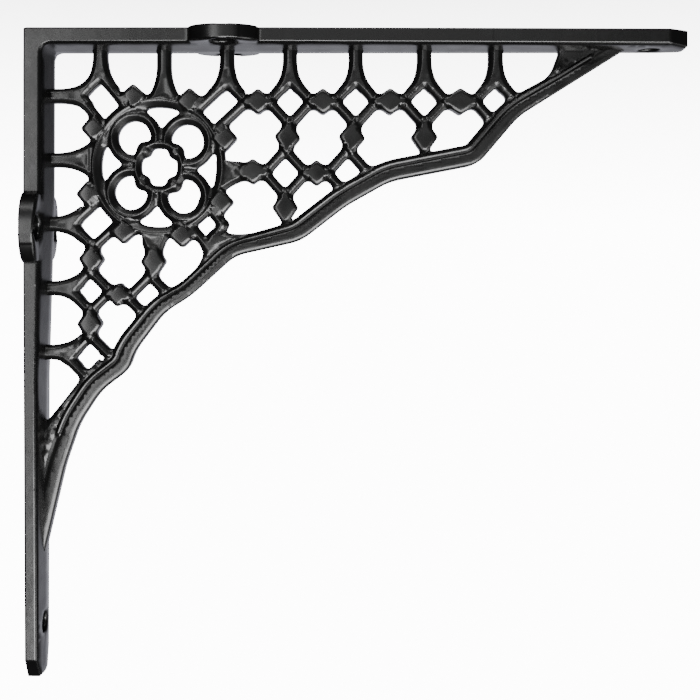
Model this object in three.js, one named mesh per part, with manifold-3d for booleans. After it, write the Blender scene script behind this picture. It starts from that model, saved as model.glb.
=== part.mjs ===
// Cast iron shelf bracket with a pierced lattice web, a rosette and a scalloped rim.
// Millimetres. The wall face is the plane x = 0, the web lies in the plane y = 0, the shelf
// arm runs out along +X and the wall arm down along -Z. Everything is drawn with the shelf
// face at z = 0, and at the end the origin moves down the wall face to between its two ears.
import * as THREE from 'three';
import { mergeVertices } from 'three/addons/utils/BufferGeometryUtils.js';
import Module from 'manifold-3d';

const wasm = await Module();
wasm.setup();

// Arms: the two flat flanges that meet at the outer corner
const shelfArm = 232;
const wallArm = 227;
const armWidth = 24.5;
const tipWidth = 19.5;
const taperStart = 84;
const shelfThickness = 5.1;
const shelfTipThickness = 5;
const wallThickness = 6.3;
const wallWaistThickness = 6.2;
const wallTipThickness = 3.8;
const wallWaist = 58;
const wallWaistEnd = 122;
const armDraft = 0.11;
const tipClip = 7;
const tipFlat = 5;
const outerCornerRadius = 1.2;
const innerCornerRadius = 4;

// Screw ears and screw holes
const earPlace = 69.3;
const earReach = 8;
const earHalfLength = 12.2;
const earHoleOutset = 2.6;
const earHole = 8.6;
const tipHole = 7.5;
const shelfTipHoleInset = 12.5;
const wallTipHoleInset = 18;

// Web: its bars, their bevel and how far they stand each side of the middle plane
const webDepth = 6.2;
const barBevel = 0.9;
const barWidthAtWall = 3.5;
const barWidthAtTip = 3.8;
const barWidthRun = 120;
const webRoot = 2;

// Struts from the shelf arm and rungs from the wall arm
const strutCount = 7;
const firstStrut = 24.8;
const strutPitch = 22.3;
const strutStretch = 1;
const stretchAfter = 3;
const rungCount = 5;
const firstRung = 22.6;
const rungPitch = 22.7;
const strutWidth = 5.2;
const flareRise = 7;
const flareRun = 6.4;
const flareDrop = 4.5;
const flareTailRun = 3.8;
const flareTailDrop = 5.8;
const ringSink = 1;

// Diamonds of the lattice, measured along their middle lines
const diamondHalfWidth = 7.4;
const diamondHalfHeight = 8.2;
const smallDiamondHalf = 7.1;
const innerDiamondHalf = 7.9;
const firstRowDepth = 24.6;
const secondRowDepth = 49.9;
const secondRowLean = 1.7;
const firstColumnReach = 21.3;
const cornerColumnOutset = 0.9;
const secondColumnReach = 42.4;
const columnDrop = 1.1;
const secondColumnDrop = 3.5;
const gridSide = 24.4;
const smallCornerReach = 27.2;
const smallCornerAngle = THREE.MathUtils.degToRad(-48);

// Beads where two diamonds meet
const beadRatio = 1.25;
const beadOverlap = 1.8;
const beadRise = 0.5;
const beadBevelShare = 1 / 3;
const rightBeadShare = 0.7;
const rightBeadLift = 0.5;
const lowerBeadShare = 0.65;
const lowerBeadOutset = 1.4;

// Rosette: outer ring, four petals, an inner ring and its four knots
const rosetteX = 45.4;
const rosetteDepth = 47.6;
const rosetteTurn = THREE.MathUtils.degToRad(-3.7);
const ringInner = 20.7;
const ringRidge = 22.9;
const ringOuter = 24.8;
const petalOffset = 13.3;
const petalInner = 5.9;
const petalRidge = 7.7;
const petalOuter = 9.6;
const hubInner = 6.3;
const hubRidge = 8.4;
const hubOuter = 9.8;
const ridgeDepth = 6.8;
const edgeDepth = 3.6;
const hubKnot = 2.7;
const ringBeadRadius = 26.1;
const ringBeadHalfLength = 5.4;
const ringBeadSpread = THREE.MathUtils.degToRad(20.4);

// Rim: the scalloped moulding along the lower edge
const rimWidth = 7.4;
const rimCrest = 3.2;
const rimCrestDepth = 7;
const rimInnerDepth = 3.4;
const rimOuterDepth = 4.6;
const rimCorner = 4;
const rimCornerShare = 0.45;
const gussetDepth = 4.8;
const gussetDrop = 0.7;

// Corners of the solid patch under the rosette, out from the wall and down from the shelf
const patchCorners = [
    [61.3, 78.6], [62.6, 73.5], [63.9, 70.9], [67.2, 70.4], [70.6, 71.2], [79, 72.4], [80, 78], [60, 88],
];

// Corners of the rim's outer edge, out from the wall and down from the shelf
const rimCorners = [
    [216, 3], [173, 29.9], [158.6, 46.9], [127.5, 52.9], [112, 61.6], [96, 74], [72.4, 79.3],
    [57, 93.4], [47.6, 99.3], [37.4, 112.8], [35.2, 119.5], [25, 127.2], [17.6, 138.6],
    [12.6, 153], [3, 194],
];

const CURVE_STEPS = 4;
const ROUND_STEPS = 36;
const SMALL_ROUND_STEPS = 24;

const iron = new THREE.MeshStandardMaterial({ color: 0x1b1c1c, roughness: 0.38, metalness: 0.0 });

// Closed geometry to solid, whichever way its faces were wound
function solid(geometry) {
    let shape = geometry.clone();
    shape.deleteAttribute('normal');
    shape.deleteAttribute('uv');
    shape = mergeVertices(shape, 1e-4);
    const points = new Float32Array(shape.attributes.position.array);
    const faces = new Uint32Array(shape.index.array);
    if (signedVolume(points, faces) < 0) {
        for (let i = 0; i < faces.length; i += 3) {
            [faces[i], faces[i + 1]] = [faces[i + 1], faces[i]];
        }
    }
    return new wasm.Manifold(new wasm.Mesh({ numProp: 3, vertProperties: points, triVerts: faces }));
}

function signedVolume(points, faces) {
    const corner = (i) => new THREE.Vector3().fromArray(points, 3 * faces[i]);
    let sum = 0;
    for (let i = 0; i < faces.length; i += 3) {
        sum += corner(i).dot(corner(i + 1).cross(corner(i + 2)));
    }
    return sum / 6;
}

function join(solids) {
    return solids.reduce((whole, piece) => whole.add(piece));
}

// Solid through a row of alike convex rings of points, closed at both ends
function loft(rings) {
    const sides = rings[0].length;
    const positions = rings.flat().flatMap((point) => point.toArray());
    const index = [];
    for (let ring = 0; ring + 1 < rings.length; ring += 1) {
        for (let side = 0; side < sides; side += 1) {
            const a = ring * sides + side;
            const b = ring * sides + (side + 1) % sides;
            index.push(a, b, a + sides, b, b + sides, a + sides);
        }
    }
    const last = (rings.length - 1) * sides;
    for (let side = 1; side + 1 < sides; side += 1) {
        index.push(0, side + 1, side, last, last + side, last + side + 1);
    }
    const geometry = new THREE.BufferGeometry();
    geometry.setAttribute('position', new THREE.Float32BufferAttribute(positions, 3));
    geometry.setIndex(index);
    return solid(geometry);
}

// Bevelled plate in the web plane: shape x is out from the wall, shape y is up
function plate(shape, depth, bevel) {
    const geometry = new THREE.ExtrudeGeometry(shape, {
        depth: depth - 2 * bevel,
        bevelEnabled: bevel > 0,
        bevelThickness: bevel,
        bevelSize: bevel,
        bevelOffset: -bevel,
        bevelSegments: 1,
        curveSegments: CURVE_STEPS,
    });
    geometry.translate(0, 0, bevel - depth / 2);
    geometry.rotateX(Math.PI / 2);
    return solid(geometry);
}

function polygon(points) {
    return new THREE.Shape(points.map(([x, z]) => new THREE.Vector2(x, z)));
}

// Bars grow a little wider from the wall towards the tip of the shelf arm
function barWidthAt(x) {
    const share = THREE.MathUtils.clamp(x / barWidthRun, 0, 1);
    return THREE.MathUtils.lerp(barWidthAtWall, barWidthAtTip, share);
}

// Straight bar with bevelled front and back edges between two places in the web
function bar([ax, az], [bx, bz]) {
    const half = barWidthAt((ax + bx) / 2) / 2;
    const top = webDepth / 2;
    const along = new THREE.Vector2(bx - ax, bz - az).normalize();
    const section = [
        [half, top - barBevel], [half - barBevel, top], [barBevel - half, top], [-half, top - barBevel],
        [-half, barBevel - top], [barBevel - half, -top], [half - barBevel, -top], [half, barBevel - top],
    ];
    const ringAt = (x, z, over) => section.map(([side, depth]) => new THREE.Vector3(
        x + along.x * over - along.y * side,
        depth,
        z + along.y * over + along.x * side,
    ));
    return loft([ringAt(ax, az, -half / 2), ringAt(bx, bz, half / 2)]);
}

// Places along the arms
function strutPlace(i) {
    const extra = Math.max(0, i - stretchAfter);
    return firstStrut + strutPitch * i + strutStretch * extra * (extra + 1) / 2;
}

function rungPlace(j) {
    return firstRung + rungPitch * j;
}

// Bead shaped as a diamond, centred at a place, with its long corners along an angle
function bead([x, z], angle, halfLength) {
    const half = beadRatio * barWidthAt(x);
    const shape = polygon([[halfLength, 0], [0, half], [-halfLength, 0], [0, -half]]);
    return plate(shape, webDepth + 2 * beadRise, half * beadBevelShare)
        .rotate([0, -THREE.MathUtils.radToDeg(angle), 0])
        .translate([x, 0, z]);
}

// Bead that fills the gap between two neighbouring diamonds
function beadBetween(a, b, halfA, halfB) {
    const angle = Math.atan2(b[1] - a[1], b[0] - a[0]);
    const length = Math.hypot(b[0] - a[0], b[1] - a[1]);
    const gap = length - halfA - halfB;
    const share = (halfA + gap / 2) / length;
    const middle = [a[0] + (b[0] - a[0]) * share, a[1] + (b[1] - a[1]) * share];
    return bead(middle, angle, gap / 2 + beadOverlap);
}

// Straight run that spreads in two curves where it lands, pointing down from its root
function flaredRun(length, rootOverlap) {
    const half = strutWidth / 2;
    const shape = new THREE.Shape();
    shape.moveTo(half, rootOverlap);
    shape.lineTo(half, flareRise - length);
    shape.quadraticCurveTo(half, -length, flareRun, -length - flareDrop);
    shape.lineTo(flareTailRun, -length - flareTailDrop);
    shape.lineTo(0, -length - webRoot / 2);
    shape.lineTo(-flareTailRun, -length - flareTailDrop);
    shape.lineTo(-flareRun, -length - flareDrop);
    shape.quadraticCurveTo(-half, -length, -half, flareRise - length);
    shape.lineTo(-half, rootOverlap);
    shape.closePath();
    return plate(shape, webDepth, barBevel);
}

// Diamond of four mitred bars
function diamond([x, z], halfWidth, halfHeight) {
    const mitre = barWidthAt(x) / Math.SQRT2;
    const around = (more) => [
        [halfWidth + more, 0], [0, halfHeight + more], [-halfWidth - more, 0], [0, -halfHeight - more],
    ];
    const shape = polygon(around(mitre));
    shape.holes.push(polygon(around(-mitre)));
    return plate(shape, webDepth, barBevel).translate([x, 0, z]);
}

const rosette = [rosetteX, -rosetteDepth];
const ridgeHalf = ridgeDepth / 2;
const edgeHalf = edgeDepth / 2;

// Round moulding in the web: high on its ridge and low at both edges
function roundMoulding([x, z], inner, ridge, outer, steps) {
    const profile = [
        [inner, -edgeHalf], [ridge, -ridgeHalf], [outer, -edgeHalf],
        [outer, edgeHalf], [ridge, ridgeHalf], [inner, edgeHalf], [inner, -edgeHalf],
    ].map(([radius, height]) => new THREE.Vector2(radius, height));
    return solid(new THREE.LatheGeometry(profile, steps)).translate([x, 0, z]);
}

function fromRosette(radius, angle) {
    return [rosette[0] + radius * Math.cos(angle), rosette[1] + radius * Math.sin(angle)];
}

// Lattice between the arms and the rim
function lattice() {
    const pieces = [];

    // The four diamonds at the rosette's corners are open towards its ring
    const cornerDiamonds = [
        [strutPlace(0), -rungPlace(0)],
        [strutPlace(2), -firstRowDepth],
        [firstColumnReach + cornerColumnOutset, -rungPlace(2)],
        fromRosette(smallCornerReach, smallCornerAngle),
    ];
    const outward = [[-1, 1], [1, 1], [-1, -1], [1, -1]];
    cornerDiamonds.forEach(([x, z], k) => {
        const [signX, signZ] = outward[k];
        const tipX = [x + signX * diamondHalfWidth, z];
        const tipZ = [x, z + signZ * diamondHalfWidth];
        const towards = Math.atan2(rosette[1] - z, rosette[0] - x);
        const reach = Math.hypot(rosette[0] - x, rosette[1] - z) - ringInner + diamondHalfWidth / 2;
        const step = [Math.cos(towards) * reach, Math.sin(towards) * reach];
        pieces.push(bar(tipX, tipZ));
        pieces.push(bar(tipX, [tipX[0] + step[0], tipX[1] + step[1]]));
        pieces.push(bar(tipZ, [tipZ[0] + step[0], tipZ[1] + step[1]]));
        for (const side of [-1, 1]) {
            const angle = towards + Math.PI + side * ringBeadSpread;
            const acrossRing = Math.abs(Math.sin(angle)) > Math.SQRT1_2 ? 0 : Math.PI / 2;
            pieces.push(bead(fromRosette(ringBeadRadius, angle), acrossRing, ringBeadHalfLength));
        }
    });

    // First row under the shelf arm and the second row below it
    const firstRow = [];
    for (let i = 3; i < strutCount; i += 1) {
        firstRow.push([strutPlace(i), -firstRowDepth]);
    }
    const secondRow = firstRow.slice(0, 2).map(([x]) => [x - secondRowLean, -secondRowDepth]);
    for (const centre of [...firstRow, ...secondRow]) {
        pieces.push(diamond(centre, diamondHalfWidth, diamondHalfHeight));
    }

    // First column beside the wall arm and the single diamond of the second column
    const firstColumn = [];
    for (let j = 3; j < rungCount; j += 1) {
        firstColumn.push([firstColumnReach, -rungPlace(j) - columnDrop]);
    }
    const innerDiamond = [secondColumnReach, -rungPlace(3) - secondColumnDrop];
    for (const centre of firstColumn) {
        pieces.push(diamond(centre, smallDiamondHalf, smallDiamondHalf));
    }
    pieces.push(diamond(innerDiamond, innerDiamondHalf, innerDiamondHalf));

    // Beads across and down between the diamonds
    const across = [cornerDiamonds[1], ...firstRow];
    for (let i = 0; i + 1 < across.length; i += 1) {
        pieces.push(beadBetween(across[i], across[i + 1], diamondHalfWidth, diamondHalfWidth));
    }
    pieces.push(beadBetween(secondRow[0], secondRow[1], diamondHalfWidth, diamondHalfWidth));
    pieces.push(beadBetween(firstColumn[0], innerDiamond, smallDiamondHalf, innerDiamondHalf));
    secondRow.forEach((centre, i) => {
        pieces.push(beadBetween(centre, firstRow[i], diamondHalfHeight, diamondHalfHeight));
    });
    const down = [cornerDiamonds[2], ...firstColumn];
    for (let j = 0; j + 1 < down.length; j += 1) {
        pieces.push(beadBetween(down[j], down[j + 1], smallDiamondHalf, smallDiamondHalf));
    }

    // Beads that end on the rim
    const loneLength = (secondRowDepth - firstRowDepth) / 2 - diamondHalfHeight + beadOverlap;
    pieces.push(bead([strutPlace(5), -(firstRowDepth + secondRowDepth) / 2], Math.PI / 2, loneLength));
    pieces.push(bead([secondRow[0][0], -secondRowDepth - gridSide / 2], Math.PI / 2, loneLength));

    // Struts and rungs, whose roots sink a little into the arms
    for (let i = 0; i < strutCount; i += 1) {
        const foot = i === 1 ? rosetteDepth - ringOuter - ringSink : firstRowDepth - diamondHalfHeight;
        const start = shelfThickness - webRoot;
        const shorter = i === 0 ? rungPlace(0) - diamondHalfWidth : foot;
        pieces.push(flaredRun(shorter - start, 0).translate([strutPlace(i), 0, -start]));
    }
    for (let j = 0; j < rungCount; j += 1) {
        const foot = j === 1 ? rosetteX - ringOuter - ringSink : firstColumnReach - smallDiamondHalf;
        const start = wallThickness - webRoot;
        const longer = j === 0 ? strutPlace(0) - diamondHalfWidth : foot;
        pieces.push(flaredRun(longer - start, 0)
            .rotate([0, -90, 0]).translate([start, 0, -rungPlace(j)]));
    }

    // Necks from the ring to its neighbours on the right and below, each with a bead
    const rightGap = secondRow[0][0] - diamondHalfWidth - rosetteX - ringOuter;
    const rightBead = [rosetteX + ringOuter + rightGap * rightBeadShare, rightBeadLift - secondRowDepth];
    pieces.push(bead(rightBead, 0, loneLength));
    pieces.push(flaredRun(rightGap - ringSink, 0).rotate([0, 90, 0])
        .translate([rosetteX + ringOuter + rightGap, 0, rightBead[1]]));
    const lowerGap = -innerDiamond[1] - innerDiamondHalf - rosetteDepth - ringOuter;
    const lowerBead = [
        innerDiamond[0] + lowerBeadOutset, -rosetteDepth - ringOuter - lowerGap * lowerBeadShare,
    ];
    pieces.push(bead(lowerBead, Math.PI / 2, loneLength));
    pieces.push(flaredRun(lowerGap - ringSink, 0).rotate([0, 180, 0])
        .translate([lowerBead[0], 0, -rosetteDepth - ringOuter - lowerGap]));
    return join(pieces);
}

// Outer edge of the rim with its corners rounded, as evenly spaced points
function rimEdge() {
    const corners = rimCorners.map(([x, depth]) => new THREE.Vector2(x, -depth));
    const path = new THREE.Path();
    path.moveTo(corners[0].x, corners[0].y);
    for (let i = 1; i + 1 < corners.length; i += 1) {
        const trim = (to) => Math.min(rimCorner, corners[i].distanceTo(to) * rimCornerShare);
        const before = corners[i - 1].clone().sub(corners[i]).setLength(trim(corners[i - 1]));
        const after = corners[i + 1].clone().sub(corners[i]).setLength(trim(corners[i + 1]));
        const enter = corners[i].clone().add(before);
        const leave = corners[i].clone().add(after);
        path.lineTo(enter.x, enter.y);
        path.quadraticCurveTo(corners[i].x, corners[i].y, leave.x, leave.y);
    }
    const end = corners[corners.length - 1];
    path.lineTo(end.x, end.y);
    return path.getPoints(CURVE_STEPS);
}

// Point at a distance in from the rim's edge, on the side of the outer corner
function inwardFrom(edge, i, distance) {
    const before = edge[Math.max(0, i - 1)];
    const after = edge[Math.min(edge.length - 1, i + 1)];
    const along = after.clone().sub(before).normalize();
    return new THREE.Vector2(edge[i].x + along.y * distance, edge[i].y - along.x * distance);
}

// Moulding that follows the edge, high along its crest and lower at both sides
function rim(edge) {
    const section = [
        [0, -rimOuterDepth / 2], [rimWidth - rimCrest, -rimCrestDepth / 2], [rimWidth, -rimInnerDepth / 2],
        [rimWidth, rimInnerDepth / 2], [rimWidth - rimCrest, rimCrestDepth / 2], [0, rimOuterDepth / 2],
    ];
    return loft(edge.map((point, i) => section.map(([distance, depth]) => {
        const place = inwardFrom(edge, i, distance);
        return new THREE.Vector3(place.x, depth, place.y);
    })));
}

// Everything between the arms and a line a set distance in from the rim's edge
function field(edge, distance, depth) {
    const line = edge.map((point, i) => inwardFrom(edge, i, distance));
    const left = wallThickness - webRoot;
    const top = webRoot - shelfThickness;
    const shape = polygon([
        [left, top], ...line.map((point) => [Math.max(left, point.x), Math.min(top, point.y)]),
    ]);
    return plate(shape, depth, 0);
}

// Outline of one arm seen square to its flat face: ears, taper and clipped tip
function armOutline(length) {
    const half = armWidth / 2;
    const tipHalf = tipWidth / 2;
    const shape = new THREE.Shape();
    const side = (sign) => {
        const ear = new THREE.EllipseCurve(
            earPlace, sign * half, earHalfLength, earReach, Math.PI, 0, sign > 0,
        ).getPoints(SMALL_ROUND_STEPS / 2);
        const bump = ear.map((point) => [point.x, sign * (half + Math.abs(point.y - sign * half))]);
        return [
            [0, sign * half], ...bump, [taperStart, sign * half],
            [length - tipClip, sign * tipHalf], [length, sign * tipFlat],
        ];
    };
    const outline = [...side(1), ...side(-1).reverse()];
    shape.setFromPoints(outline.map(([x, y]) => new THREE.Vector2(x, y)));
    return shape;
}

// Both arms: the L seen from the side, thicker in the middle plane, cut to the two outlines
function arms() {
    const halfReach = armWidth / 2 + earReach;
    const growth = armDraft * (halfReach - webDepth / 2);
    const lost = armDraft * earReach;
    const shelfInside = shelfThickness - lost;
    const wallInside = wallThickness - lost;
    const fillet = innerCornerRadius;
    const side = new THREE.Shape();
    side.moveTo(0, -wallArm);
    side.lineTo(wallTipThickness - lost, -wallArm);
    side.lineTo(wallTipThickness - lost, -wallWaistEnd);
    side.lineTo(wallWaistThickness - lost, -wallWaist);
    side.lineTo(wallInside, -shelfInside - fillet);
    side.quadraticCurveTo(wallInside, -shelfInside, wallInside + fillet, -shelfInside);
    side.lineTo(shelfArm, lost - shelfTipThickness);
    side.lineTo(shelfArm, 0);
    side.lineTo(outerCornerRadius, 0);
    side.quadraticCurveTo(0, 0, 0, -outerCornerRadius);
    side.closePath();
    const body = new THREE.ExtrudeGeometry(side, {
        depth: webDepth,
        bevelEnabled: true,
        bevelThickness: halfReach - webDepth / 2,
        bevelSize: growth,
        bevelSegments: 1,
        curveSegments: CURVE_STEPS,
    });
    body.translate(0, 0, -webDepth / 2);
    body.rotateX(Math.PI / 2);
    const thickest = wallThickness + innerCornerRadius + growth;
    const outlineOf = (length) => new THREE.ExtrudeGeometry(armOutline(length), {
        depth: thickest,
        bevelEnabled: false,
    });
    const shelf = outlineOf(shelfArm).translate(0, 0, -thickest);
    const wall = outlineOf(wallArm).rotateY(Math.PI / 2);
    return solid(body).intersect(solid(shelf).add(solid(wall)));
}

// Screw holes: a pair through the ears of each arm and one near each tip
function screwHoles() {
    const drill = (diameter) => new THREE.CylinderGeometry(
        diameter / 2, diameter / 2, 6 * wallThickness, SMALL_ROUND_STEPS,
    );
    const earY = armWidth / 2 + earHoleOutset;
    const holes = [];
    for (const y of [-earY, earY]) {
        holes.push(solid(drill(earHole).rotateX(Math.PI / 2).translate(earPlace, y, 0)));
        holes.push(solid(drill(earHole).rotateZ(Math.PI / 2).translate(0, y, -earPlace)));
    }
    holes.push(solid(drill(tipHole).rotateX(Math.PI / 2).translate(shelfArm - shelfTipHoleInset, 0, 0)));
    holes.push(solid(drill(tipHole).rotateZ(Math.PI / 2).translate(0, 0, wallTipHoleInset - wallArm)));
    return join(holes);
}

function petalAngle(k) {
    return Math.PI / 4 + k * Math.PI / 2 + rosetteTurn;
}

// Rosette: ring, petals, hub and the knots that point its middle opening
function rosetteWork() {
    const pieces = [roundMoulding(rosette, ringInner, ringRidge, ringOuter, ROUND_STEPS)];
    for (let k = 0; k < 4; k += 1) {
        const angle = petalAngle(k);
        pieces.push(roundMoulding(
            fromRosette(petalOffset, angle), petalInner, petalRidge, petalOuter, SMALL_ROUND_STEPS,
        ));
    }
    const hubHole = new THREE.CylinderGeometry(hubRidge, hubRidge, 2 * ridgeDepth, SMALL_ROUND_STEPS);
    const hub = [roundMoulding(rosette, hubInner, hubRidge, hubOuter, SMALL_ROUND_STEPS)];
    for (let k = 0; k < 4; k += 1) {
        const angle = petalAngle(k);
        const shape = polygon([[hubKnot, 0], [0, hubKnot], [-hubKnot, 0], [0, -hubKnot]]);
        const [x, z] = fromRosette((hubInner + hubOuter + hubKnot / 2) / 2, angle);
        hub.push(plate(shape, ridgeDepth, hubKnot * beadBevelShare)
            .rotate([0, -THREE.MathUtils.radToDeg(angle), 0]).translate([x, 0, z]));
    }
    const petals = join(pieces).subtract(solid(hubHole).translate([rosette[0], 0, rosette[1]]));
    return petals.add(join(hub));
}

// Solid corner plates where the rim runs out along the arms
function gussets(edge) {
    const whole = field(edge, rimWidth / 2, gussetDepth);
    const shelfStart = strutPlace(strutCount) - strutWidth / 2;
    const wallStart = rungPlace(rungCount) + gussetDrop;
    const far = shelfArm;
    const shelfSide = plate(polygon([
        [shelfStart, 0], [far, 0], [far, -far], [shelfStart - rimWidth, -far],
        [shelfStart - rimWidth, -firstRowDepth], [shelfStart, -firstRowDepth / 2],
    ]), 2 * armWidth, 0);
    const wallSide = plate(polygon([
        [0, -wallStart], [firstColumnReach / 2 - webRoot, -wallStart], [rungPitch, rungPitch / 2 - wallStart],
        [far, rungPitch / 2 - wallStart], [far, -far], [0, -far],
    ]), 2 * armWidth, 0);
    const patch = plate(polygon(patchCorners.map(([x, depth]) => [x, -depth])), 2 * armWidth, 0);
    return whole.intersect(shelfSide.add(wallSide).add(patch));
}

function castBracket() {
    const edge = rimEdge();
    const ringBore = new THREE.CylinderGeometry(ringRidge, ringRidge, 2 * armWidth, ROUND_STEPS);
    const web = lattice()
        .intersect(field(edge, rimWidth / 2, 2 * armWidth))
        .subtract(solid(ringBore).translate([rosette[0], 0, rosette[1]]));
    const outside = new THREE.BoxGeometry(2 * shelfArm, 2 * shelfArm, 2 * shelfArm);
    const cast = arms().add(web).add(rosetteWork()).add(rim(edge)).add(gussets(edge));
    return cast
        .subtract(solid(outside).translate([-shelfArm, 0, 0]))
        .subtract(solid(outside).translate([0, 0, shelfArm]))
        .subtract(screwHoles())
        .translate([0, 0, earPlace]);
}

// Solid back to a mesh
function meshOf(name, shape) {
    const { vertProperties, triVerts } = shape.getMesh();
    const geometry = new THREE.BufferGeometry();
    geometry.setAttribute('position', new THREE.Float32BufferAttribute(vertProperties, 3));
    geometry.setIndex([...triVerts]);
    geometry.computeVertexNormals();
    const mesh = new THREE.Mesh(geometry, iron);
    mesh.name = name;
    return mesh;
}

const bracket = new THREE.Group();
bracket.add(meshOf('bracket', castBracket()));

export default bracket;
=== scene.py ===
import math

import bmesh
import bpy
import numpy as np
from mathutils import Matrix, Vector
from mathutils.geometry import delaunay_2d_cdt


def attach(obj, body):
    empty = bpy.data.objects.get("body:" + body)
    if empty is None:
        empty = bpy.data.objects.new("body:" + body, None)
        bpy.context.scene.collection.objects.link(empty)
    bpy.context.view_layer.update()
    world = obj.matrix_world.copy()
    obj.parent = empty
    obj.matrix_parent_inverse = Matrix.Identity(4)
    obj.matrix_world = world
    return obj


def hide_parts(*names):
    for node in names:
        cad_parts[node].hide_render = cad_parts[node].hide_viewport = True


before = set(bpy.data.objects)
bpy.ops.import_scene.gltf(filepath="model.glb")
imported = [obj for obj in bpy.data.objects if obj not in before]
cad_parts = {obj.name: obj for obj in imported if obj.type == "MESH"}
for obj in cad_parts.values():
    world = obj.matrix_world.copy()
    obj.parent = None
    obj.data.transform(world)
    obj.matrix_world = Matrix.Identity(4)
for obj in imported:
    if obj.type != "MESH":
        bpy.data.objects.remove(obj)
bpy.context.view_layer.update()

# Arms
# The two flat flanges of the casting: the shelf lies on one and the other is screwed to the wall.
# They are cast in sand with the web, a little thicker along the middle, with clipped ends, an ear
# on each side and bored screw holes. Sizes are in millimetres; z = 0 is the shelf face.
MM = 0.001
SHELF_ARM = 232.0
WALL_ARM = 227.0
ARM_HALF = 12.25
TIP_HALF = 9.75
TAPER_START = 84.0
SHELF_CORNER_THICKNESS = 5.1
SHELF_TIP_THICKNESS = 5.0
WALL_CORNER_THICKNESS = 5.65
WALL_FULL_TO = 58.0
WALL_TIP_THICKNESS = 3.8
WALL_THIN_FROM = 122.0
WALL_EVEN_FALL = 0.1
MIDDLE_SLOPE = 0.11
WALL_CORNER_SLOPE = 0.2
TIP_CLIP = 7.0
TIP_FLAT = 5.0
EAR_PLACE = 69.3
EAR_REACH = 8.0
EAR_HALF_LENGTH = 12.2
EAR_HOLE_OUTSET = 2.6
EAR_HOLE_RADIUS = 4.3
TIP_HOLE_RADIUS = 3.75
SHELF_TIP_HOLE_INSET = 12.5
WALL_TIP_HOLE_INSET = 18.0
EAR_FILLET = 0.5
EDGE_ROUND = 0.55
OUTER_CORNER_ROUND = 1.2
INNER_FILLET = 4.0
INNER_FILLET_RISE = 2.0
INNER_FILLET_HALF = 11.0
LIP_DEPTH = 0.45
LIP_WIDTH = 0.9
WALL_ARM_START = 0.3
CORNER_INSET = 0.03
CORNER_REACH = 11.0
SIDE_MARGIN = 0.15
GRID_STEP = 0.65
CROSSING_MARGIN = 0.03
GUIDE_CLEARANCE = 0.2
LOOSE_CLEARANCE = 0.1
ARM_LEVELS = [0.0, -0.15, -0.6, -1.1]
ARM_LOOSE_FROM = -1.6
ARM_LOOSE_STEP = 3.0
RIDGE_STEP = 1.5
FILLET_STEP = 0.6


def blend_min(a, b, soft):
    """The smaller of two distances, with a fillet of about the size of soft where they meet."""
    h = np.clip(soft - np.abs(a - b), 0, None) / soft
    return np.minimum(a, b) - h * h * soft / 4


def rounded(depth, radius):
    """How far a rounded edge falls away at a depth in from it."""
    t = 1 - np.clip(depth / radius, 0, 1)
    return radius * (1 - np.sqrt(np.clip(1 - t * t, 0, None)))


def iso_lines(field, us, vs, level):
    """Points on a grid's iso-line, and the pairs of them that are joined."""
    f = field - level
    f = np.where(np.abs(f) < 1e-9, 1e-9, f)
    inside = f < 0
    number = np.full(f.shape + (2,), -1)
    i, j = np.nonzero(inside[:-1, :] != inside[1:, :])
    t = np.clip(f[i, j] / (f[i, j] - f[i + 1, j]), CROSSING_MARGIN, 1 - CROSSING_MARGIN)
    points = [np.stack([us[i] + t * (us[1] - us[0]), vs[j]], 1)]
    number[i, j, 0] = np.arange(len(i))
    count = len(i)
    i, j = np.nonzero(inside[:, :-1] != inside[:, 1:])
    t = np.clip(f[i, j] / (f[i, j] - f[i, j + 1]), CROSSING_MARGIN, 1 - CROSSING_MARGIN)
    points.append(np.stack([us[i], vs[j] + t * (vs[1] - vs[0])], 1))
    number[i, j, 1] = count + np.arange(len(i))
    sides = np.stack([number[:-1, :-1, 0], number[1:, :-1, 1],
                      number[:-1, 1:, 0], number[:-1, :-1, 1]], -1)
    crossed = (sides >= 0).sum(-1)
    pairs = [np.sort(sides[crossed == 2], 1)[:, 2:]]
    i, j = np.nonzero(crossed == 4)
    if len(i):
        four = sides[i, j]
        middle = (f[i, j] + f[i + 1, j] + f[i, j + 1] + f[i + 1, j + 1]) < 0
        same = middle == inside[i, j]
        pairs.append(np.where(same[:, None], four[:, [0, 1]], four[:, [0, 3]]))
        pairs.append(np.where(same[:, None], four[:, [2, 3]], four[:, [1, 2]]))
    return np.concatenate(points), np.concatenate(pairs)


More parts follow.
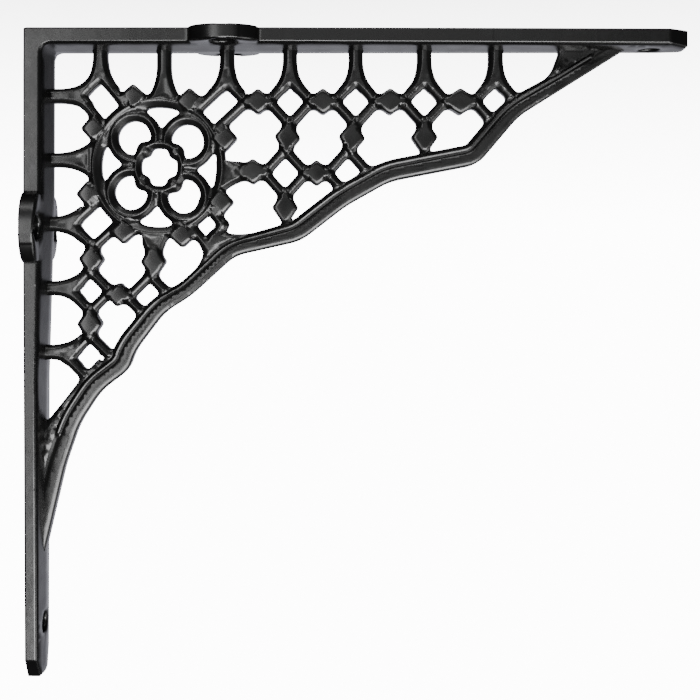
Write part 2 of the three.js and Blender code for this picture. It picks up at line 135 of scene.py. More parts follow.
def plan_mesh(field, low, high, levels, loose_step, loose_from, extra, guides=(), lined=None):
    """Triangles that fill the inside of a field, with edges along its iso-lines and the guides.

    Loose points fill the middle where the field is below loose_from, and the extra ones lie
    inside the last level. They are left out where lined says that guides lie close together.
    """
    us = np.arange(low[0], high[0] + GRID_STEP, GRID_STEP)
    vs = np.arange(low[1], high[1] + GRID_STEP, GRID_STEP)
    grid = np.stack(np.meshgrid(us, vs, indexing="ij"), -1)
    flat = grid.reshape(-1, 2)
    shaped = field(flat).reshape(len(us), len(vs))
    points, pairs, count = [], [], 0
    for level in levels:
        found, joined = iso_lines(shaped, us, vs, level)
        points.append(found)
        pairs.append(joined + count)
        count += len(found)
    for guide, guide_levels in guides:
        along = guide(flat).reshape(shaped.shape)
        for level in guide_levels:
            found, joined = iso_lines(along, us, vs, level)
            if not len(joined):
                continue
            inside = field(found) < -GUIDE_CLEARANCE
            joined = joined[inside[joined].all(1)]
            used, joined = np.unique(joined, return_inverse=True)
            points.append(found[used])
            pairs.append(joined.reshape(-1, 2) + count)
            count += len(used)
    every = max(1, round(loose_step / GRID_STEP))
    loose = grid[::every, ::every][shaped[::every, ::every] < loose_from]
    loose = np.vstack([loose, extra[field(extra) < levels[-1] - LOOSE_CLEARANCE]])
    if lined is not None:
        loose = loose[~lined(loose)]
    points.append(loose)
    points = np.concatenate(points)
    pairs = np.concatenate(pairs)
    edges = [tuple(map(int, pair)) for pair in pairs]
    found = delaunay_2d_cdt([Vector(point) for point in points], edges, [], 0, 1e-4)
    verts = np.array([tuple(v) for v in found[0]])
    faces = np.array(found[2])
    return verts, faces[field(verts[faces].mean(1)) < 0]


def double_sheet(verts, faces, top, bottom, margin):
    """The same triangles at two heights, joined round their boundary by flat sides.

    A margin above zero gives the sides a row of points that far in from each edge.
    """
    used = np.unique(faces)
    place = np.full(len(verts), -1)
    place[used] = np.arange(len(used))
    verts, faces = verts[used], place[faces]
    edges = np.concatenate([faces[:, [0, 1]], faces[:, [1, 2]], faces[:, [2, 0]]])
    _, first, counts = np.unique(np.sort(edges, 1), axis=0, return_index=True, return_counts=True)
    rim = edges[first[counts == 1]]
    count = len(verts)
    high = np.column_stack([verts, top(verts)])
    low = np.column_stack([verts, bottom(verts)])
    points = [high, low]
    rows = [rim, rim + count]
    if margin:
        ends, rim_ends = np.unique(rim, return_inverse=True)
        rim_ends = rim_ends.reshape(-1, 2)
        step = margin * np.sign(low[ends] - high[ends])
        points += [high[ends] + step, low[ends] - step]
        rows = [rim, rim_ends + 2 * count, rim_ends + 2 * count + len(ends), rim + count]
    sides = []
    for upper, lower in zip(rows, rows[1:]):
        sides.append(np.stack([upper[:, 1], upper[:, 0], lower[:, 0]], 1))
        sides.append(np.stack([upper[:, 1], lower[:, 0], lower[:, 1]], 1))
    return np.vstack(points), np.vstack([faces, faces[:, ::-1] + count, *sides])


def arm_field(length, hole_inset):
    """Signed distance to an arm's outline: u runs along it from the outer corner, v across it."""
    def field(p):
        u, v = p[:, 0], np.abs(p[:, 1])
        half = np.interp(u, [TAPER_START, length - TIP_CLIP, length],
                         [ARM_HALF, TIP_HALF, TIP_FLAT])
        clip_slope = (TIP_HALF - TIP_FLAT) / TIP_CLIP
        side = np.where(u > length - TIP_CLIP, (v - half) / math.hypot(1, clip_slope), v - half)
        du, dv = u - EAR_PLACE, v - ARM_HALF
        steep = 2 * np.hypot(du / EAR_HALF_LENGTH ** 2, dv / EAR_REACH ** 2) + 1e-6
        ear = ((du / EAR_HALF_LENGTH) ** 2 + (dv / EAR_REACH) ** 2 - 1) / steep
        d = blend_min(side, ear, EAR_FILLET)
        d = np.maximum(np.maximum(d, -u), u - length)
        d = np.maximum(d, EAR_HOLE_RADIUS - np.hypot(du, v - ARM_HALF - EAR_HOLE_OUTSET))
        return np.maximum(d, TIP_HOLE_RADIUS - np.hypot(u - length + hole_inset, v))
    return field


def arm_sheet(length, hole_inset, thickness_at, slope_at, fillet_start, start, inset_end):
    """An arm lying flat, with its outer face at zero and its inner face above it.

    It begins at start, and its outer face and sides are set in a little up to inset_end, where
    the other arm covers them.
    """
    whole = arm_field(length, hole_inset)

    def inset(p):
        return CORNER_INSET * (p[:, 0] < inset_end)

    def field(p):
        return np.maximum(whole(p) + inset(p), start - p[:, 0])

    along = np.arange(RIDGE_STEP, length, RIDGE_STEP)
    ridge = np.stack([along, np.zeros(len(along))], 1)
    fillet_us = np.arange(fillet_start, fillet_start + INNER_FILLET + 1, FILLET_STEP)
    fillet_vs = np.arange(-INNER_FILLET_HALF, INNER_FILLET_HALF, RIDGE_STEP)
    near = np.stack(np.meshgrid(fillet_us, fillet_vs, indexing="ij"), -1).reshape(-1, 2)
    reach = ARM_HALF + EAR_REACH + 1
    verts, faces = plan_mesh(field, (-1, -reach), (length + 1, reach), ARM_LEVELS,
                             ARM_LOOSE_STEP, ARM_LOOSE_FROM, np.vstack([ridge, near]))

    def outer(p):
        corner = rounded(p[:, 0], OUTER_CORNER_ROUND)
        return np.maximum(rounded(-field(p), EDGE_ROUND), corner) + inset(p)

    def inner(p):
        depth = -field(p)
        swell = slope_at(p[:, 0]) * np.clip(ARM_HALF - np.abs(p[:, 1]), 0, None)
        lip = LIP_DEPTH * (1 - rounded(np.clip(depth - EDGE_ROUND, 0, None), LIP_WIDTH) / LIP_WIDTH)
        fillet = np.clip(1 - (p[:, 0] - fillet_start) / INNER_FILLET, 0, 1) ** 2 * INNER_FILLET_RISE
        fall = rounded(depth, EDGE_ROUND) * (p[:, 0] > fillet_start)
        return thickness_at(p[:, 0]) + swell + lip + fillet - fall

    return double_sheet(verts, faces, outer, inner, SIDE_MARGIN)


def shelf_thickness(u):
    return np.interp(u, [0, SHELF_ARM], [SHELF_CORNER_THICKNESS, SHELF_TIP_THICKNESS])


def shelf_slope(u):
    return np.full(len(u), MIDDLE_SLOPE)


def wall_thickness(u):
    """Nearly even at first, then falling to the thin lower part, which is nearly even again."""
    return np.interp(u, [0, WALL_FULL_TO, WALL_THIN_FROM, WALL_ARM],
                     [WALL_CORNER_THICKNESS, WALL_CORNER_THICKNESS - WALL_EVEN_FALL,
                      WALL_TIP_THICKNESS + WALL_EVEN_FALL, WALL_TIP_THICKNESS])


def wall_slope(u):
    return np.interp(u, [WALL_FULL_TO, WALL_THIN_FROM], [WALL_CORNER_SLOPE, MIDDLE_SLOPE])


# Lattice
# Struts hang from the shelf arm and rungs stand out from the wall arm. They end on a net of open
# diamonds joined by flat beads, as on a cast register grille. The bars have a ridge along the
# middle and their sides have the draft that lets the pattern leave the sand.
BAR_AT_WALL = 3.5
BAR_AT_TIP = 3.8
BAR_RUN = 120.0
STRUT_COUNT = 7
FIRST_STRUT = 25.2
STRUT_PITCH = 22.3
STRETCH_AFTER = 3
RUNG_COUNT = 5
FIRST_RUNG = 22.6
RUNG_PITCH = 22.7
STRUT_HALF = 2.5
FLARE_RISE = 7.0
FLARE_RUN = 6.4
FLARE_DROP_SHARE = 0.7
FLARE_STEPS = 14
CORNER_HALVES = [(7.6, 7.6), (7.0, 7.0), (7.8, 7.8), (5.7, 7.4)]
DIAMOND_HALF_WIDTH = 7.4
DIAMOND_HALF_HEIGHT = 8.2
SMALL_DIAMONDS = [7.1, 7.9, 7.9]
FIRST_ROW = 24.6
SECOND_ROW = 49.9
SECOND_ROW_LEANS = [1.7, 2.7]
FIRST_COLUMN = 21.3
SECOND_COLUMN = 42.4
COLUMN_DROPS = [1.1, 2.2]
SECOND_COLUMN_DROP = 3.5
GRID_SIDE = 24.4
BEAD_RATIO = 1.27
BEAD_OVERLAP = 2.3
BEAD_ROUND = 1.3
LONE_BEAD_EXTRA = 0.3
EDGE_HEIGHT = 2.1
BAR_CREST = 3.25
BEAD_FACE = 3.62
BEAD_BEVEL = 0.5
BEAD_FALL = 0.9
BEAD_CROWN = 0.35
CREST_ROUND = 0.3
ROOT_SINK = 0.25
ROOT_SINK_RUN = 1.5
SIDE_ROUND = 0.3


def strut_place(i):
    """How far from the wall a strut hangs; the later ones stand a little wider apart."""
    extra = max(0, i - STRETCH_AFTER)
    return FIRST_STRUT + STRUT_PITCH * i + extra * (extra + 1) / 2


def rung_place(j):
    """How far below the shelf face a rung stands out."""
    return FIRST_RUNG + RUNG_PITCH * j


def bar_width(x):
    """Width of the bars, which are a little heavier away from the wall."""
    return BAR_AT_WALL + (BAR_AT_TIP - BAR_AT_WALL) * np.clip(x / BAR_RUN, 0, 1)


def to_segment(p, a, b):
    """Distance to a straight piece from a to b."""
    a, b = np.asarray(a, float), np.asarray(b, float)
    ab = b - a
    t = np.clip((p - a) @ ab / (ab @ ab), 0, 1)
    return np.linalg.norm(p - a - t[:, None] * ab, axis=1)


def to_rhombus(p, centre, half_u, half_v):
    """Signed distance to an upright rhombus."""
    q = np.abs(p - centre)
    return (q[:, 0] * half_v + q[:, 1] * half_u - half_u * half_v) / math.hypot(half_u, half_v)


def seen_along(p, centre, angle):
    """Places measured from a centre, along and across an angle."""
    c, s = math.cos(angle), math.sin(angle)
    return (p - centre) @ np.array([[c, -s], [s, c]])


def to_bead(p, centre, half_u, half_v, angle):
    """Signed distance to a rhombus with rounded corners."""
    slim = 1 - BEAD_ROUND * math.hypot(half_u, half_v) / (half_u * half_v)
    q = np.abs(seen_along(p, centre, angle))
    u, v = half_u * slim, half_v * slim
    flat = (q[:, 0] * v + q[:, 1] * u - u * v) / math.hypot(u, v)
    return np.where(flat > 0, to_segment(q, (u, 0), (0, v)), flat) - BEAD_ROUND


def flare_curve(rise, run):
    """Half widths of a strut's foot at the heights above where it lands."""
    t = np.linspace(0, 1, FLARE_STEPS)
    heights = rise * (1 - t) ** 2 - run * FLARE_DROP_SHARE * t ** 2
    halves = STRUT_HALF * (1 - t) ** 2 + 2 * STRUT_HALF * t * (1 - t) + run * t ** 2
    return heights[::-1], halves[::-1]


def to_flare(p, origin, up, opening, curve):
    """A strut that stands along up from origin and spreads where it lands, open over the opening."""
    heights, halves = curve
    up = np.asarray(up, float)
    rise = (p - origin) @ up
    across = np.abs((p - origin) @ np.array([up[1], -up[0]]))
    tilt = np.interp(rise, heights, np.gradient(halves, heights))
    side = (across - np.interp(rise, heights, halves)) / np.sqrt(1 + tilt * tilt)
    return np.maximum(np.maximum(side, heights[0] - rise), -opening(p))


def around(centre, half_u, half_v):
    """The four corners of a diamond, in order."""
    return [centre + (half_u, 0), centre + (0, half_v), centre - (half_u, 0), centre - (0, half_v)]


FOOT = flare_curve(FLARE_RISE, FLARE_RUN)
FIRST_ROW_CENTRES = [np.array([strut_place(i), -FIRST_ROW]) for i in range(3, STRUT_COUNT)]
SECOND_ROW_CENTRES = [np.array([c[0] - lean, -SECOND_ROW])
                      for c, lean in zip(FIRST_ROW_CENTRES, SECOND_ROW_LEANS)]
FIRST_COLUMN_CENTRES = [np.array([FIRST_COLUMN, -rung_place(j) - drop])
                        for j, drop in zip(range(3, RUNG_COUNT), COLUMN_DROPS)]
INNER_CENTRE = np.array([SECOND_COLUMN, -rung_place(3) - SECOND_COLUMN_DROP])

# Rosette
# A round window near the corner: a ridged outer ring, four petals and an inner ring with four
# knots, all cast with the web. It sits a few degrees round from upright, and the open corners of
# the net run into its outer ring, with two beads beside each.
ROSETTE = np.array([45.8, -47.8])
RING_MIDDLE = np.array([45.0, -47.5])
CREST_MIDDLE = (ROSETTE + RING_MIDDLE) / 2
ROSETTE_TURN = math.radians(-3.7)
RING_INNER = 20.5
RING_CREST = 22.9
RING_OUTER = 24.4
ROSETTE_TALL = 1.035
RING_ROOT_LIFT = 3.2
PETAL_OFFSET = 13.3
PETAL_INNER = 5.8
PETAL_CREST = 7.9
PETAL_OUTER = 9.6
HUB_INNER = 6.5
HUB_CREST = 8.2
HUB_OUTER = 9.6
HUB_KNOT = 2.7
HUB_KNOT_INSET = 0.3
RING_FACE = 3.5
PETAL_FACE = 3.35
RING_BEAD_RADIUS = 26.1
RING_BEAD_SPREAD = math.radians(20.4)
RING_BEAD_HALF_LENGTH = 5.2
UPPER_CORNER_SHIFT = 0.3
LOWER_CORNER_OUTSET = 1.1
LOWER_CORNER_DROP = 0.3
SMALL_CORNER_REACH = 27.2
SMALL_CORNER_ANGLE = math.radians(-49.5)
RIGHT_BEAD_SHARE = 0.7
RIGHT_BEAD_LIFT = 0.5
LOWER_BEAD_SHARE = 0.65
LOWER_BEAD_OUTSET = 1.4
RING_FLARE_RISE = 8.0
RING_FLARE_RUN = 7.6
RIGHT_FLARE_RISE = 8.5
RIGHT_FLARE_RUN = 9.5


def turned(radius, angle):
    return radius * np.array([math.cos(angle), math.sin(angle)])


def radius_from(p, centre):
    """Distance from a centre in the rosette, which is a little taller than it is wide."""
    return np.hypot(p[:, 0] - centre[0], (p[:, 1] - centre[1]) / ROSETTE_TALL)


def to_ring(p, centre, inner, outer):
    """Signed distance to a flat ring."""
    radius = radius_from(p, centre)
    return np.abs(radius - (inner + outer) / 2) - (outer - inner) / 2


def to_outer_ring(p):
    """The outer ring, whose window is a little off the middle of its outside."""
    return np.maximum(radius_from(p, RING_MIDDLE) - RING_OUTER, -to_ring_window(p))


def to_ring_window(p):
    return radius_from(p, ROSETTE) - RING_INNER


CORNER_CENTRES = [
    np.array([strut_place(0) - UPPER_CORNER_SHIFT, -rung_place(0)]),
    np.array([strut_place(2) - UPPER_CORNER_SHIFT, -FIRST_ROW]),
    np.array([FIRST_COLUMN + LOWER_CORNER_OUTSET, -rung_place(2) - LOWER_CORNER_DROP]),
    RING_MIDDLE + turned(SMALL_CORNER_REACH, SMALL_CORNER_ANGLE),
]
CORNER_SIGNS = [(-1, 1), (1, 1), (-1, -1), (1, -1)]
PETAL_ANGLES = [math.pi / 4 + k * math.pi / 2 + ROSETTE_TURN for k in range(4)]
TALL = np.array([1.0, ROSETTE_TALL])
PETAL_CENTRES = [ROSETTE + TALL * turned(PETAL_OFFSET, angle) for angle in PETAL_ANGLES]
KNOTS = [ROSETTE + TALL * turned(HUB_CREST - HUB_KNOT_INSET, angle) for angle in PETAL_ANGLES]
RING_FOOT = flare_curve(RING_FLARE_RISE, RING_FLARE_RUN)
RIGHT_FOOT = flare_curve(RIGHT_FLARE_RISE, RIGHT_FLARE_RUN)


def corner_bars(centre, signs, half):
    """The three bars of a diamond that is open towards the rosette."""
    tip_u = centre + (signs[0] * half[0], 0)
    tip_v = centre + (0, signs[1] * half[1])
    towards = RING_MIDDLE - centre
    reach = np.linalg.norm(towards) - RING_INNER + half[0] / 2
    step = towards / np.linalg.norm(towards) * reach
    return [(tip_u, tip_v), (tip_u, tip_u + step), (tip_v, tip_v + step)]


RIGHT_GAP = SECOND_ROW_CENTRES[0][0] - DIAMOND_HALF_WIDTH - RING_MIDDLE[0] - RING_OUTER
LOWER_GAP = -INNER_CENTRE[1] - SMALL_DIAMONDS[2] + RING_MIDDLE[1] - RING_OUTER
RIGHT_BEAD = np.array([RING_MIDDLE[0] + RING_OUTER + RIGHT_GAP * RIGHT_BEAD_SHARE,
                       -SECOND_ROW + RIGHT_BEAD_LIFT])
LOWER_BEAD = np.array([INNER_CENTRE[0] + LOWER_BEAD_OUTSET,
                       RING_MIDDLE[1] - RING_OUTER - LOWER_GAP * LOWER_BEAD_SHARE])


def beads():
    """Every bead as centre, half length, half width and angle."""
    found = []

    def between(a, b, half_a, half_b):
        d = b - a
        length = np.linalg.norm(d)
        gap = length - half_a - half_b
        centre = a + d * (half_a + gap / 2) / length
        found.append((centre, gap / 2 + BEAD_OVERLAP, math.atan2(d[1], d[0])))

    wide, tall = DIAMOND_HALF_WIDTH, DIAMOND_HALF_HEIGHT
    across = [CORNER_CENTRES[1], *FIRST_ROW_CENTRES]
    for a, b in zip(across, across[1:]):
        between(a, b, wide, wide)
    between(*SECOND_ROW_CENTRES, wide, wide)
    between(FIRST_COLUMN_CENTRES[0], INNER_CENTRE, SMALL_DIAMONDS[0], SMALL_DIAMONDS[2])
    for a, b in zip(SECOND_ROW_CENTRES, FIRST_ROW_CENTRES):
        between(a, b, tall, tall)
    between(CORNER_CENTRES[2], FIRST_COLUMN_CENTRES[0], CORNER_HALVES[2][1], SMALL_DIAMONDS[0])
    between(*FIRST_COLUMN_CENTRES, SMALL_DIAMONDS[0], SMALL_DIAMONDS[1])
    lone = (SECOND_ROW - FIRST_ROW) / 2 - DIAMOND_HALF_HEIGHT + BEAD_OVERLAP + LONE_BEAD_EXTRA
    up = math.pi / 2
    found.append((np.array([strut_place(5), -(FIRST_ROW + SECOND_ROW) / 2]), lone, up))
    found.append((np.array([SECOND_ROW_CENTRES[0][0], -SECOND_ROW - GRID_SIDE / 2]), lone, up))
    found.append((RIGHT_BEAD, lone, 0.0))
    found.append((LOWER_BEAD, lone, up))
    for centre in CORNER_CENTRES:
        d = centre - RING_MIDDLE
        for side in (-1, 1):
            angle = math.atan2(d[1], d[0]) + side * RING_BEAD_SPREAD
            lies = 0.0 if abs(math.sin(angle)) > math.sqrt(0.5) else up
            found.append((RING_MIDDLE + turned(RING_BEAD_RADIUS, angle), RING_BEAD_HALF_LENGTH, lies))
    return [(c, length, BEAD_RATIO * bar_width(c[0]), angle) for c, length, angle in found]


BEADS = beads()

# Rim
# The scalloped moulding along the lower edge of the web: a dark inner slope, a thin bead, a groove
# and a broad flat band that ends in a sharp edge. Where it runs out along each arm, a thin plate
# fills the corner, and a small solid patch joins it to the net under the rosette. A pair of places
# is a distance out along the shelf arm and one down the wall arm.
RIM_ROUND = 4.0
RIM_ROUND_STEPS = 6
SIDE_PER_ROUND = 2.2
RIM_CORNERS = [
    (216, 3), (173, 29.9), (158.6, 46.9), (127.5, 52.9), (112, 61.6), (96, 74), (72.4, 79.3),
    (57, 93.4), (47.6, 99.3), (37.4, 112.8), (35.2, 119.5), (25, 127.2), (17.6, 138.6),
    (12.6, 153), (3, 194),
]
RIM_PLACES = [30, 54, 72, 84, 96, 165, 187, 216]
RIM_WIDTHS = [7.6, 5.9, 6.2, 6.9, 7.6, 7.6, 6.0, 5.6]
RIM_ACROSS = [0.0, 0.12, 0.2, 0.28, 0.36, 0.44, 0.7, 0.92, 1.0]
RIM_HEIGHTS = [2.0, 2.75, 3.25, 3.05, 2.6, 3.15, 3.35, 3.25, 2.75]
PATCH = [
    (61.3, -78.6), (62.6, -73.5), (63.9, -70.9), (67.2, -70.4), (70.6, -71.2), (79, -72.4),
    (80, -78), (72, -80), (60, -84),
]
PLATE_ACROSS = [0.0, 0.25, 0.45, 0.75, 0.93, 1.0]
PLATE_HEIGHTS = [2.3, 2.45, 3.0, 3.3, 3.25, 2.75]
PLATE_THINNING = 0.3
PLATE_THINNED_FROM = (185.0, 134.0)
PLATE_THINNED_TO = (189.0, 139.0)
PLATE_EDGE_RUN = 1.2
PLATE_END_SHARE = 0.6
BEAD_ENDS = (199.0, 142.5)
BEAD_FADE = 1.0
PLATE_ENDS = (207.0, 162.0)
PLATE_FADE = 9.0
RIM_BLEND = 0.6
SHELF_PLATE_START = 188.3
SHELF_PLATE_DEPTH = 5.0
SHELF_PLATE_LEAN = 0.37
SHELF_PLATE_COSINE = 0.94
WALL_PLATE_START = 136.5
WALL_PLATE_X = 7.1
WALL_PLATE_LEAN = 1.2
WALL_PLATE_COSINE = 0.64
WALL_PLATE_REACH = 24.0
RIM_OUTSIDE = 20.0


def rim_edge():
    """The outer edge of the rim, with its corners rounded."""
    corners = [Vector((x, -depth)) for x, depth in RIM_CORNERS]
    points = [corners[0]]

    def towards(corner, other):
        side = other - corner
        return corner + side.normalized() * min(RIM_ROUND, side.length / SIDE_PER_ROUND)

    for last, corner, following in zip(corners, corners[1:], corners[2:]):
        enter, leave = towards(corner, last), towards(corner, following)
        for step in range(RIM_ROUND_STEPS + 1):
            t = step / RIM_ROUND_STEPS
            points.append(enter * (1 - t) ** 2 + corner * 2 * t * (1 - t) + leave * t * t)
    points.append(corners[-1])
    return np.array([tuple(point) for point in points])


def to_polygon(p, points):
    """Signed distance to a closed polygon."""
    points = np.asarray(points, float)
    best = np.full(len(p), 1e9)
    inside = np.zeros(len(p), bool)
    for a, b in zip(points, np.roll(points, -1, axis=0)):
        best = np.minimum(best, to_segment(p, a, b))
        crosses = (a[1] > p[:, 1]) != (b[1] > p[:, 1])
        if a[1] != b[1]:
            at = (b[0] - a[0]) * (p[:, 1] - a[1]) / (b[1] - a[1]) + a[0]
            inside ^= crosses & (p[:, 0] < at)
    return np.where(inside, -best, best)


RIM = rim_edge()
CLOSED_RIM = np.vstack([[RIM[0][0], RIM_OUTSIDE], RIM, [-RIM_OUTSIDE, RIM[-1][1]],
                        [-RIM_OUTSIDE, RIM_OUTSIDE]])


def rim_depth(p):
    """How far a point lies inside the rim's outer edge; below zero outside it."""
    inside = -to_polygon(p, CLOSED_RIM)
    line = np.full(len(p), 1e9)
    for a, b in zip(RIM, RIM[1:]):
        line = np.minimum(line, to_segment(p, a, b))
    return np.where(inside > 0, line, -line)


def rim_across(p):
    """Place across the rim: 0 at its inner edge and 1 at its outer edge."""
    return 1 - rim_depth(p) / np.interp(p[:, 0], RIM_PLACES, RIM_WIDTHS)


# Web
# The lattice, the rosette and the rim in one plate, cast with the arms. Its outline is one field of
# distances, blended with small fillets as in the mould, and its thickness follows each part.
WEB_TOP = 3.6
WEB_LEFT = 3.0
ARM_OVERLAP = 1.0
FAR_AWAY = 50.0
PART_MARGIN = 4.0
FOOT_HALF = 8.0
FOOT_DROP = 7.0
RIGHT_FOOT_HALF = 10.0
PETAL_STOP = 1.0
BAR_FILLET = 1.3
BEAD_FILLET = 2.0
PETAL_FILLET = 2.6
KNOT_FILLET = 1.2
HUB_FILLET = 1.0
ARM_FILLET = 1.6
PATCH_FILLET = 2.0
RIM_FILLET = 1.8
PLATE_FILLET = 2.4
LATTICE_STOP = 1.5
PLATE_STOP = 1.0
CARVING_FILLET = 0.3
BEAD_SEAM = 0.15
RING_BESIDE = 1.5
RING_SPILL = 0.2
RING_FADE = (0.5, -0.6)
FLOOR_SLOPE = 0.15
FLOOR_RUN = 2.0
PETAL_FADE = 0.6
KNOT_RISE = (-0.4, 2.0)
SINK_FROM_RIM = (4.0, 8.0)
CARVED_REACH = 27.0
CARVED_STEP = 0.8
CREST_BAND = 0.9
CREST_CLEARANCE = 0.2
NO_CREST = 9.0
RIM_BAND = 0.46
WEB_LOW = (1.5, -200.0)
WEB_HIGH = (222.0, -1.5)
WEB_LEVELS = [0.0, -0.15, -0.5, -1.55, -1.82]
WEB_LOOSE_FROM = -2.1
WEB_LOOSE_STEP = 1.3


def window_of(centre, half_u, half_v):
    """Signed distance to the opening inside a diamond's bars."""
    mitre = bar_width(centre[0]) / math.sqrt(2)
    return lambda p: to_rhombus(p, centre, half_u - mitre, half_v - mitre)


def web_parts():
    """Every part of the web as a box it lies in, a distance function and the size of its fillets."""
    parts = []

    def add(a, b, function, soft=BAR_FILLET):
        low, high = np.minimum(a, b) - PART_MARGIN, np.maximum(a, b) + PART_MARGIN
        parts.append((low, high, function, soft))

    def add_bar(a, b):
        half = bar_width((a[0] + b[0]) / 2) / 2
        add(a, b, lambda p: to_segment(p, a, b) - half)

    def add_bead(centre, half_u, half_v, angle):
        reach = max(half_u, half_v)
        add(centre - reach, centre + reach,
            lambda p: to_bead(p, centre, half_u, half_v, angle), BEAD_FILLET)

    def add_strut(foot, opening, curve=FOOT):
        add(foot - (FOOT_HALF, FOOT_DROP), np.array([foot[0] + FOOT_HALF, 0.0]),
            lambda p: to_flare(p, foot, (0, 1), opening, curve))

    def add_rung(foot, opening, curve=FOOT):
        add(foot + (FOOT_DROP, FOOT_HALF), np.array([0.0, foot[1] - FOOT_HALF]),
            lambda p: to_flare(p, foot, (-1, 0), opening, curve))

    def add_petal(centre):
        add(centre - PETAL_OUTER, centre + PETAL_OUTER, lambda p: np.maximum(
            to_ring(p, centre, PETAL_INNER, PETAL_OUTER),
            HUB_INNER + PETAL_STOP - radius_from(p, ROSETTE)), PETAL_FILLET)

    def add_knot(centre):
        add(centre - HUB_KNOT, centre + HUB_KNOT,
            lambda p: radius_from(p, centre) - HUB_KNOT, KNOT_FILLET)

    diamonds = [(centre, DIAMOND_HALF_WIDTH, DIAMOND_HALF_HEIGHT)
                for centre in FIRST_ROW_CENTRES + SECOND_ROW_CENTRES]
    diamonds += [(centre, half, half)
                 for centre, half in zip(FIRST_COLUMN_CENTRES + [INNER_CENTRE], SMALL_DIAMONDS)]
    for diamond in diamonds:
        ends = around(*diamond)
        for k in range(4):
            add_bar(ends[k], ends[(k + 1) % 4])
    for corner in zip(CORNER_CENTRES, CORNER_SIGNS, CORNER_HALVES):
        for a, b in corner_bars(*corner):
            add_bar(a, b)
    for bead in BEADS:
        add_bead(*bead)

    top, half = CORNER_CENTRES[0], CORNER_HALVES[0]
    low, low_half = CORNER_CENTRES[2], CORNER_HALVES[2]
    ring_reach = RING_OUTER + RING_ROOT_LIFT
    add_strut(top + (0, half[1]), window_of(top, *half))
    add_strut(np.array([strut_place(1), RING_MIDDLE[1] + ring_reach]), to_ring_window, RING_FOOT)
    for i in range(2, STRUT_COUNT):
        centre = np.array([strut_place(i), -FIRST_ROW])
        add_strut(centre + (0, DIAMOND_HALF_HEIGHT),
                  window_of(centre, DIAMOND_HALF_WIDTH, DIAMOND_HALF_HEIGHT))
    add_rung(top - (half[0], 0), window_of(top, *half))
    add_rung(np.array([RING_MIDDLE[0] - ring_reach, -rung_place(1)]), to_ring_window, RING_FOOT)
    add_rung(np.array([FIRST_COLUMN - low_half[0], -rung_place(2)]), window_of(low, *low_half))
    for j, centre, side in zip(range(3, RUNG_COUNT), FIRST_COLUMN_CENTRES, SMALL_DIAMONDS):
        add_rung(np.array([FIRST_COLUMN - side, -rung_place(j)]), window_of(centre, side, side))
    right = np.array([RING_MIDDLE[0] + ring_reach, RIGHT_BEAD[1]])
    add(right - (FOOT_HALF, RIGHT_FOOT_HALF), RIGHT_BEAD, lambda p: np.maximum(
        to_flare(p, right, (1, 0), to_ring_window, RIGHT_FOOT), p[:, 0] - RIGHT_BEAD[0]))
    lower = np.array([LOWER_BEAD[0], RING_MIDDLE[1] - ring_reach])
    add(lower + (FOOT_HALF, FOOT_DROP), LOWER_BEAD, lambda p: np.maximum(
        to_flare(p, lower, (0, -1), to_ring_window, RING_FOOT), LOWER_BEAD[1] - p[:, 1]))

    add(RING_MIDDLE - RING_OUTER, RING_MIDDLE + RING_OUTER, to_outer_ring)
    for centre in PETAL_CENTRES:
        add_petal(centre)
    for centre in KNOTS:
        add_knot(centre)
    add(ROSETTE - HUB_OUTER, ROSETTE + HUB_OUTER,
        lambda p: to_ring(p, ROSETTE, HUB_INNER, HUB_OUTER), HUB_FILLET)
    return parts


PARTS = web_parts()


def to_plates(p):
    """Signed distance to the inner edges of the two corner plates."""
    x, z = p[:, 0], p[:, 1]
    shelf_edge = SHELF_PLATE_START + (z + SHELF_PLATE_DEPTH) * SHELF_PLATE_LEAN
    shelf_plate = (shelf_edge - x) * SHELF_PLATE_COSINE
    wall_edge = (x - WALL_PLATE_X) * WALL_PLATE_LEAN - WALL_PLATE_START
    wall_plate = np.maximum((z - wall_edge) * WALL_PLATE_COSINE, x - WALL_PLATE_REACH)
    return np.minimum(shelf_plate, wall_plate)


def web_field(p):
    """Signed distance to the outline of the web."""
    x, z = p[:, 0], p[:, 1]
    depth = rim_depth(p)
    width = np.interp(x, RIM_PLACES, RIM_WIDTHS)
    d = np.full(len(p), FAR_AWAY)
    for low, high, function, soft in PARTS:
        near = np.all((p > low) & (p < high), axis=1)
        d[near] = blend_min(d[near], function(p[near]), soft)
    arm = np.minimum(-z - shelf_thickness(x), x - wall_thickness(-z)) - ARM_OVERLAP
    d = np.maximum(blend_min(d, arm, ARM_FILLET), LATTICE_STOP - depth)
    rim = np.abs(depth - width / 2) - width / 2
    d = blend_min(d, blend_min(rim, to_polygon(p, PATCH), PATCH_FILLET), RIM_FILLET)
    d = blend_min(d, np.maximum(to_plates(p), PLATE_STOP - depth), PLATE_FILLET)
    return np.maximum(np.maximum(d, -depth), np.maximum(z + WEB_TOP, WEB_LEFT - x))


def ease(value, start, end):
    """A smooth change from 0 at the start to 1 at the end."""
    t = np.clip((value - start) / (end - start), 0, 1)
    return t * t * (3 - 2 * t)


def ridge(offset, run, crest, foot):
    """Height of a ridge at a distance from its crest, down to its foot over the run."""
    rounding = np.hypot(offset, CREST_ROUND) - CREST_ROUND
    full = np.hypot(run, CREST_ROUND) - CREST_ROUND
    return crest - (crest - foot) * np.clip(rounding / full, 0, 1)


def higher(a, b, soft=CARVING_FILLET):
    """The larger of two heights, with a fillet where they meet."""
    return -blend_min(-a, -b, soft)


def ring_ridge(p, centre, inner, crest, outer, face):
    """A ring with a crest between its inner and outer edges; 0 away from it."""
    offset = radius_from(p, centre) - crest
    run = np.where(offset < 0, crest - inner, outer - crest)
    height = ridge(offset, run, face, EDGE_HEIGHT)
    return np.where(np.abs(offset) < run + RING_BESIDE, height, 0)


